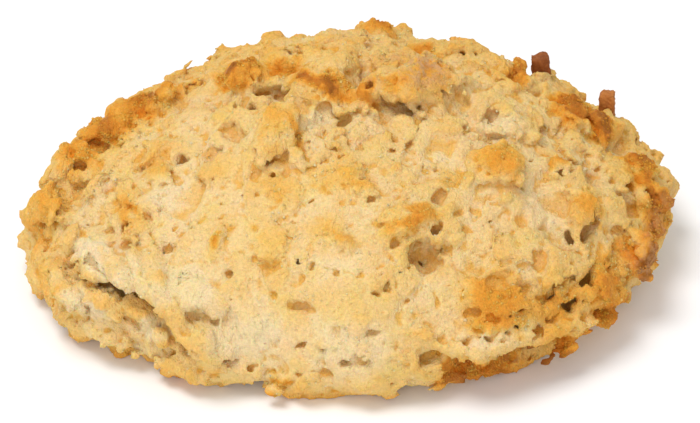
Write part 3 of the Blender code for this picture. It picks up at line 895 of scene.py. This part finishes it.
def dough_recipe():
    recipe = Recipe("torn_dough")
    terms = dough_fields(recipe, recipe.mesh)
    dough = terms["core"] - terms["raised"]
    dough = dough.join("SMOOTH_MIN", terms["nugget"], NUGGET_BLEND)
    dough = dough.join("SMOOTH_MAX", -terms["hollow"], HOLLOW_BLEND)
    dough = dough.join("SMOOTH_MAX", -terms["pore"], PORE_BLEND)
    dough = dough.join("MAXIMUM", -terms["level"])
    start, end = low - Vector((MARGIN,) * 3), high + Vector((MARGIN,) * 3)
    counts = [round(size / VOXEL) for size in end - start]
    settings = {f"Resolution_{axis}": count for axis, count in zip("XYZ", counts)}
    settings |= {"Density": -dough, "Background": -1.0, "Min": start * MM, "Max": end * MM}
    volume = recipe.add("GeometryNodeVolumeCube", **settings)
    grid = {"resolution_mode": "GRID"}
    skin = recipe.add("GeometryNodeVolumeToMesh", 0, grid, Volume=volume, Threshold=0.0)
    shell = recipe.add("GeometryNodeInputMeshIsland", "Island Index")
    counted = {"data_type": "INT"}
    points = recipe.add("GeometryNodeAccumulateField", "Total", counted, Value=1, Group_ID=shell)
    scrap = points.join("LESS_THAN", float(SMALLEST_SCRAP))
    whole = recipe.add("GeometryNodeDeleteGeometry", 0, Geometry=skin, Selection=scrap)
    recipe.give(recipe.keep(whole, "skin", terms["skin"]), baked_dough)
    return recipe


core_piece = object_of("core", [], [])
core.to_mesh(core_piece.data)
crust = add_object("crust", dough_recipe().bake(core_piece))
print(f"the dough has {len(crust.data.polygons)} faces")

# %% Fewer faces
MOST_TRIANGLES = 195000

crust.data.calc_loop_triangles()
fewer = crust.modifiers.new("fewer", "DECIMATE")
fewer.ratio = min(1, MOST_TRIANGLES / len(crust.data.loop_triangles))
fewer.use_collapse_triangulate = True
crust.data = applied(crust)
crust.data.shade_smooth()
print(f"the crust has {len(crust.data.polygons)} triangles")

# %% [markdown]
# ## Where the crust is proud
# An oven browns crags most, and creases and holes get painted shade, darker and warmer. How far a point
# stands out is its height over a blurred copy of the surface: a narrow blur finds creases, a middling one
# holes and a broad one crags.

# %% Tips and crags
def add_prominence(recipe, mesh, name, rounds):
    """Stores how far each point stands above the blurred surface, in millimetres."""
    place = recipe.add("GeometryNodeInputPosition")
    normal = recipe.add("GeometryNodeInputNormal")
    kind = {"data_type": "FLOAT_VECTOR"}
    blur = recipe.add("GeometryNodeBlurAttribute", 0, kind, Value=place, Iterations=rounds)
    return recipe.keep(mesh, name, (place - blur).dot(normal) * (1 / MM))


BLURS = {"tip": 6, "dent": 22, "crag": 70}  # rounds of blurring, for the crust's three attributes


def prominence_recipe():
    recipe = Recipe("prominence")
    mesh = recipe.mesh
    for name, rounds in BLURS.items():
        mesh = add_prominence(recipe, mesh, name, recipe.given(f"Blur for {name}", rounds))
    recipe.give(mesh, baked_dough)
    return recipe


crust.data = prominence_recipe().bake(crust)


def points_of(piece):
    data = np.empty(len(piece.data.vertices) * 3, np.float32)
    piece.data.vertices.foreach_get("co", data)
    return data.reshape(-1, 3) / MM

# %% [markdown]
# ## How the cake browned
# Each row is a place on the crust, how far the browning reaches along it and up it, and how strong it
# is. A negative one is a pale place, where dough was torn open late or where flour lies. The great hole's
# row is painted shade.

# %% The baking map
BROWNED = dict(
    # bearing, height angle, reach along, reach up, strength
    left_crag=(173.5, 24, 4.2, 3, 0.52),
    left_crag_low=(179.5, 19.5, 3.6, 3, 0.46),
    left_crag_high=(168, 29, 3.2, 2.2, 0.46),
    left_rim=(188, 14, 2.8, 3.6, 0.29),
    left_rim_low=(190, 5.5, 3.4, 3, 0.26),
    left_edge=(163, 35, 3.4, 1.6, 0.42),
    left_edge_high=(148, 35, 3.4, 1.6, 0.36),
    crest_left=(158, 57, 3.4, 1.7, 0.46),
    crest_left_low=(163, 54, 2.6, 1.6, 0.38),
    crest_left_near=(165, 59, 2.2, 1.3, 0.34),
    crest_left_end=(150, 45, 2.2, 1.5, 0.46),
    crest_edge_a=(140, 64, 2.8, 1.7, 0.54),
    crest_edge_b=(174, 79, 3.4, 1.4, 0.6),
    crest_edge_c=(187, 83, 2.4, 1.3, 0.46),
    crest_edge_d=(230, 86.5, 1.8, 1.2, 0.44),
    crest_edge_e=(342, 85, 1.8, 1.1, 0.47),
    crest_edge_f=(352, 79, 2.2, 1.2, 0.47),
    crest_right=(2, 71, 4.4, 2.8, 0.24),
    crest_right_far=(9, 63, 3.6, 2.4, 0.2),
    crest_dusk=(30, 70, 4, 2.4, 0.21),
    top_bump=(79, 45, 3.6, 2, 0.42),
    streak=(57, 47, 2, 0.9, 0.47),
    back_crust=(9.5, 22, 3.2, 2.2, 0.78),
    back_crust_far=(12, 28, 3.4, 2.2, 0.73),
    back_crust_high=(25, 38, 4, 1.6, 0.55),
    right_crag=(359, 16.5, 2.8, 2.4, 0.68),
    right_end=(354, 11, 2.8, 2.8, 0.65),
    right_end_low=(341, 13, 1.8, 1.4, 0.34),
    right_rim=(356, 8, 2.4, 4, 0.3),
    right_rim_low=(343, 9, 2.4, 3, 0.25),
    right_crag_high=(2, 20, 2.4, 2.4, 0.25),
    right_end_wall=(352, 5, 4.4, 3, 0.78),
    brow=(338.5, 24, 2.2, 1.4, 0.31),
    brow_drip=(337.6, 19, 1, 1.6, 0.26),
    spot=(344.3, 32, 1.5, 1.3, 0.55),
    gold_knob=(332, 43, 3.2, 2.8, 0.35),
    flake=(292, 39.6, 3.2, 1.4, 0.55),
    leaf=(217, 63, 2, 2.8, 0.25),
    leaf_edge=(234, 63, 0.8, 3.2, 0.43),
    leaf_foot=(228, 56, 2.2, 1.2, 0.2),
    middle=(317, 47, 1.6, 1.6, 0.3),
    left_patch=(196, 31, 2.4, 1.8, 0.22),
    left_patch_low=(205, 22.5, 2.6, 1.4, 0.38),
    orange_spot=(229, 29.5, 0.9, 1.5, 0.53),
    middle_patch=(264, 57, 3.4, 2.2, 0.2),
    middle_knot=(277, 51, 1.8, 1.4, 0.28),
    middle_patch_left=(237, 47, 2.4, 1.4, 0.18),
    middle_patch_low=(262, 38, 3.2, 1.4, 0.22),
    field=(305, 16, 5, 4.4, 0.47),
    field_right=(318, 10, 4, 3, 0.36),
    field_far=(328, 11, 3.2, 3, 0.44),
    field_end=(335, 12, 2.4, 2.6, 0.33),
    wall_left=(295.5, 0.6, 2.6, 2.8, 0.78),
    wall=(302, 0.6, 3.4, 2.9, 0.78),
    wall_right=(309.5, 0.8, 3.6, 2.8, 0.78),
    wall_foot=(304, -6, 6, 1.6, 0.39),
    corner_wall=(319, 0, 4, 2.2, 0.57),
    corner_wall_far=(330, 3, 4, 2.6, 0.6),
    right_wall=(341, 8, 3.8, 3, 0.73),
    bottom_left=(230, -3.5, 2.6, 1.4, 0.33),
    bottom_spot=(239.5, -0.4, 1.4, 0.8, 0.44),
    ledge=(199, 2, 3.4, 2.6, 0.15),
    ledge_hole=(207, 6, 1, 0.7, 0.33),
    front_crumb=(253, -2.4, 1.4, 1.2, 0.55),
    pale_lip=(209, 17, 3.6, 1.6, -0.4),
    pale_lip_front=(222, 16, 4.4, 2.4, -0.3),
    flour=(231, 18, 3, 3, -0.4),
    low_front=(245, 10, 5, 4, -0.28),
    low_front_right=(270, 10, 6, 4, -0.2),
    pale_right=(330, 30, 3, 3.4, -0.15),
    pale_far=(351, 45, 4, 2.6, -0.2),
    pale_middle=(268, 30, 3, 1.6, -0.15),
    under_crest=(225, 78, 3, 1.4, -0.3),
    pale_hollow=(207, 30, 3, 3.2, -0.18),
    pale_pocket=(200.6, 44, 2, 1.6, -0.15),
    # painted shade: this row makes the inside of the great hole browner and darker, standing in for its
    # shade
    great_hole=(294, 29.4, 1.9, 2.1, 0.1),
    pale_hem=(302, 9, 6, 1, -0.22),
    cavity_floor=(212, 7, 3.6, 1.6, -0.28),
    cavity_floor_right=(226, 6, 3.6, 1.6, -0.3),
)
BAKE_DEPTH = 5.0  # how far a row reaches into the cake and out of it
LEVELNESS = 1.5  # 1 would be a plain bell shape; more is flatter on top with quicker edges
MOST_BAKED = 0.84
BAKE_GROUND = 0.22
BACK_BROWNING = 0.18
FOOT_BROWNING = 0.22
FOOT_HEIGHT = 3.5


def wavering(points):
    """The points moved a little by noise, which frays the edges of the browned patches."""
    moved = []
    for point in points.tolist():
        point = Vector(point)
        wide, fine = noise.noise_vector(point / 2.4), noise.noise_vector(point / 0.9)
        moved.append(point + wide * 1.7 + fine * 0.8)
    return np.array(moved)


def spread_over(points, places):
    """What the places give each point: level over most of their reach, then a fairly quick end."""
    total = np.zeros(len(points))
    for bearing, rise, along, up, strength in places:
        inwards = np.array(crust_frame(bearing, rise).inverted())
        local = points @ inwards[:3, :3].T + inwards[:3, 3]
        total += strength * np.exp(-((local / (along, up, BAKE_DEPTH)) ** 2).sum(1) ** LEVELNESS)
    return total


def baked(points):
    """How browned each point is by its place, from 0 for raw cream to 1 for burnt."""
    level = spread_over(points, BROWNED.values()) + BAKE_GROUND
    level += BACK_BROWNING * np.clip(points[:, 1] / depth * 2, 0, 1)
    level += FOOT_BROWNING * np.clip(1 - points[:, 2] / FOOT_HEIGHT, 0, 1)
    return np.minimum(level, MOST_BAKED)


def keep_values(piece, name, values):
    data = piece.data.attributes.new(name, "FLOAT", "POINT").data
    data.foreach_set("value", np.asarray(values, np.float32))


DUSKY = dict(  # where flour has browned to a dull reddish brown, in rows like those above
    crest_right=(8, 70, 4.8, 2.8, 0.85),
    crest_right_far=(14, 63, 3.4, 2, 0.5),
    crest_top=(52, 69, 3.6, 2.2, 0.5),
    crest_edge=(350, 82, 2.4, 1.4, 0.5),
    crest_left=(95, 63, 4, 1.6, 0.35),
    wall=(303, 0.5, 5, 1.6, 0.2),
    right_wall=(341, 9, 4.4, 3.4, 0.45),
    right_end=(354, 7, 4, 3.4, 0.4),
)


places = wavering(points_of(crust))
keep_values(crust, "dusk", np.clip(spread_over(places, DUSKY.values()), 0, 1))
keep_values(crust, "bake", baked(places))
print(f"{len(BROWNED)} browned or pale places, {len(DUSKY)} dusky ones")

# %% [markdown]
# ## Burnt bits on the back
# Two scorched chips of dough stand on the back of the cake. Each is a small slab whose edges and sides a
# noise has chipped. They are the darkest thing here, so they have a finish of their own.

# %% Burnt bits
BURNT_BITS = dict(  # middle, top, width, depth, lean to the right in degrees, turn
    taller=((26.1, 13.4), 23.8, 2.4, 1.8, -7, 8),
    shorter=((35.2, 11.3), 19.1, 2, 1.7, -2, -12),
)
BIT_LENGTH = 5.0
BIT_CUTS = 9
BIT_CHIPPING = 0.26
SCORCHED = ((0.0, (0.14, 0.034, 0.006)), (0.45, (0.29, 0.08, 0.013)), (1.0, (0.55, 0.20, 0.04)))


def box_with_points():
    """A box of side one, with evenly spaced points."""
    shape = bmesh.new()
    bmesh.ops.create_cube(shape, size=1)
    bmesh.ops.subdivide_edges(shape, edges=shape.edges[:], cuts=BIT_CUTS, use_grid_fill=True)
    return shape


def chipped_slab(points, middle, top, width, deep, lean, turn):
    """The points of one bit, in millimetres: a leaning slab with chipped edges and sides."""
    stand = Matrix.Translation((*middle, top - BIT_LENGTH / 2))
    stand = stand @ Matrix.Rotation(math.radians(lean), 4, "Y")
    stand = stand @ Matrix.Rotation(math.radians(turn), 4, "Z")
    chipped = []
    for point in points:
        corner = Vector(max(0, abs(part) * 2 - 0.7) for part in point).length - 0.3
        place = stand @ Vector((point.x * width, point.y * deep, point.z * BIT_LENGTH))
        chip = noise.noise_vector(place * 0.7) + noise.noise_vector(place * 2.6) * 0.9
        inwards = (stand @ Vector((0, 0, point.z * BIT_LENGTH * 0.6)) - place).normalized()
        chipped.append(place + chip * BIT_CHIPPING + inwards * max(0, corner) * 0.9)
    return chipped


def burnt_finish():
    finish = Finish("burnt_dough")
    place = finish.place()
    rightwards = finish.add("ShaderNodeSeparateXYZ", "X", Vector=place)
    paler = finish.step(rightwards, 30.0, 31.0) * 0.44  # the shorter bit is scorched less
    level = finish.noise(place / 0.9, 4.0, 0.6) * 0.9 + finish.noise(place / 0.3, 2.0) * 0.4
    return finish.set({
        "Base Color": finish.ramp(level + 0.42 + paler, SCORCHED),
        "Normal": finish.bump(finish.noise(place / 0.5, 4.0, 0.6), 0.3),
        "Roughness": 0.68,
        "Specular IOR Level": 0.35,
    })


def add_burnt_bits():
    points, faces = points_and_faces(box_with_points())
    slabs = [chipped_slab(points, *row) for row in BURNT_BITS.values()]
    bits = object_of("burnt_bits", slabs, faces)
    bits.data.shade_smooth()
    bits.data.materials.append(burnt_finish())
    return bits


burnt_bits = add_burnt_bits()
print(f"burnt bits of {len(burnt_bits.data.polygons)} faces")

# %% [markdown]
# ## Crumbs
# Torn dough leaves crumbs, which brown with the crust round them. They are one small uneven ball that
# Geometry Nodes repeats at random points of the crust, most thickly where it is browned. Each keeps the
# baking values of its point, so that the same finish colours it.

# %% Crumbs
GRAIN_DETAIL = 1
CRUMB_SIZE = 0.22
CRUMB_DENSITY = 10  # crumbs on a square millimetre where they lie thickest
CRUMB_PALENESS = 0.13


def add_grain():
    """The ball that is repeated: few faces, of radius one metre, scaled down where it is placed."""
    shape = ball(GRAIN_DETAIL)
    for vertex in shape.verts:
        vertex.co *= 1 + 0.5 * noise.noise(vertex.co * 1.3)
    made = add_object("grain", bpy.data.meshes.new("grain"))
    shape.to_mesh(made.data)
    shape.free()
    made.data.shade_smooth()
    return made


def drawn(recipe, smallest, largest, seed, kind="FLOAT"):
    """A random value for each crumb."""
    chosen = {"data_type": kind}
    return recipe.add("FunctionNodeRandomValue", 0, chosen, Min=smallest, Max=largest, Seed=seed)


def crumb_recipe(grain):
    recipe = Recipe("scattered_crumbs")
    place = recipe.add("GeometryNodeInputPosition")
    patches = recipe.step(recipe.noise(place / (2.6 * MM), 2.0), 0.0, 0.12)
    bake, dusk = (
        recipe.add("GeometryNodeInputNamedAttribute", 0, {"data_type": "FLOAT"}, Name=name)
        for name in ("bake", "dusk")
    )
    thick = (recipe.step(bake, 0.32, 0.6) * 0.9 + 0.1).join("MAXIMUM", recipe.step(dusk, 0.2, 0.6))
    level = recipe.add("ShaderNodeSeparateXYZ", "Z", Vector=place)
    thick = thick * level.join("GREATER_THAN", 1.0 * MM)
    points = recipe.add(
        "GeometryNodeDistributePointsOnFaces", 0, Mesh=recipe.mesh, Seed=recipe.given("Seed", 5),
        Density=patches * thick * recipe.given("Density", CRUMB_DENSITY / MM**2),
    )
    size = drawn(recipe, 0.4, 1.0, 2)
    size = size * size * recipe.given("Crumb size", CRUMB_SIZE * MM)
    shade = drawn(recipe, -0.12, 0.12, 4)
    points = recipe.keep(points, "bake", bake + shade - recipe.given("Paleness", CRUMB_PALENESS))
    turn = drawn(recipe, 0.0, 6.28, 3, "FLOAT_VECTOR")
    whole = recipe.add("GeometryNodeObjectInfo", "Geometry", Object=recipe.given("Grain", grain))
    placed = recipe.add(
        "GeometryNodeInstanceOnPoints", 0, Points=points, Instance=whole, Scale=size,
        Rotation=recipe.add("FunctionNodeEulerToRotation", 0, Euler=turn),
    )
    recipe.give(placed, baked_dough)
    return recipe


grain = add_grain()
crumbs = add_object("crumbs", crumb_recipe(grain).bake(crust))
print(f"crumbs of {len(crumbs.data.polygons)} faces")

# %% [markdown]
# ## The finished cake
# The helpers go. The crust stands for the solid cake, and all the pieces move with its one body. The size
# of the finished cake is written beside that of the solid.

# %% The finished cake
for helper in (hollows, nuggets, core_piece, grain):
    bpy.data.objects.remove(helper)
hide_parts(NODE)
for piece in (crust, crumbs, burnt_bits):
    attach(piece, "root")
visual_box = [list(corner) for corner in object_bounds()]
for name, box in (("solid", solid_box), ("visual", visual_box)):
    print(name, " ".join(f"{value / MM:.2f}" for corner in box for value in corner))
